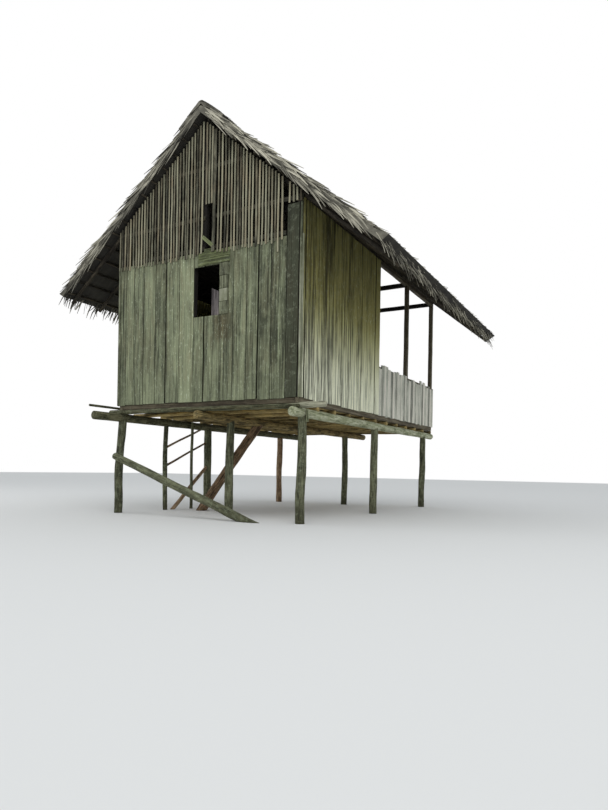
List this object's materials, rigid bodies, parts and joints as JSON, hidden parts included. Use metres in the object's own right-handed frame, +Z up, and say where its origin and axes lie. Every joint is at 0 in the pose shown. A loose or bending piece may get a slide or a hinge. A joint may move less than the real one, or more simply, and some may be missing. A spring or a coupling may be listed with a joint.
{
  "type": "stilt house",
  "caption": "Thatched board house raised on round posts, with a closed room, a slatted gable and an open veranda under one steep roof.",
  "frame": {"origin": "on the ground, in the middle of the house's box", "axes": "+Z up, +Y from the slatted gable to the open veranda end, +X to the right of that gable"},
  "size_m": [6.94, 7.78, 7.1947],
  "materials": {
    "gable_boards": "weathered grey-green rough-sawn boards with lichen",
    "side_boards": "sun-bleached rough-sawn boards, stained under the eave",
    "split_slats": "dry split bamboo, dull",
    "post_wood": "weathered grey round logs with checks",
    "pole_wood": "olive-brown round poles, bark partly off",
    "red_wood": "red-brown round logs, rough",
    "pale_wood": "bleached barked log",
    "frame_wood": "rough-sawn frame timber, dull",
    "floor_wood": "split palm trunk, dull",
    "dry_thatch": "dry grey-brown palm thatch, matt"
  },
  "bodies": {
    "root": {"post_right_front": "post_wood", "post_right_middle": "post_wood", "post_right_back": "post_wood", "post_left_front": "post_wood", "post_left_middle": "post_wood", "post_left_back": "red_wood", "post_centre_front": "post_wood", "post_centre_back": "post_wood", "post_slender": "post_wood", "girder_left": "pole_wood", "girder_centre": "pole_wood", "girder_right": "pale_wood", "front_cross_log": "pale_wood", "thin_front_pole": "pole_wood", "floor_joists": "red_wood", "floor_deck": "floor_wood", "sills": "frame_wood", "diagonal_log": "post_wood", "leaning_log": "red_wood", "thin_braces": "pole_wood", "wall_posts": "frame_wood", "veranda_posts": "frame_wood", "wall_plates": "frame_wood", "tie_beams": "frame_wood", "king_posts": "frame_wood", "loft_floor": "floor_wood", "front_wall": "gable_boards", "back_wall": "gable_boards", "right_wall": "side_boards", "left_wall": "side_boards", "front_gable_slats": "split_slats", "back_gable_slats": "split_slats", "side_parapets": "side_boards", "rear_parapet": "side_boards", "parapet_rails": "frame_wood", "window_boards": "gable_boards", "slot_boards": "gable_boards", "corner_strips": "gable_boards", "ridge_pole": "pole_wood", "rafters_left": "pole_wood", "rafters_right": "pole_wood", "battens": "pole_wood", "thatch_left": "dry_thatch", "thatch_right": "dry_thatch", "ridge_cap": "dry_thatch"}
  },
  "joints": []
}
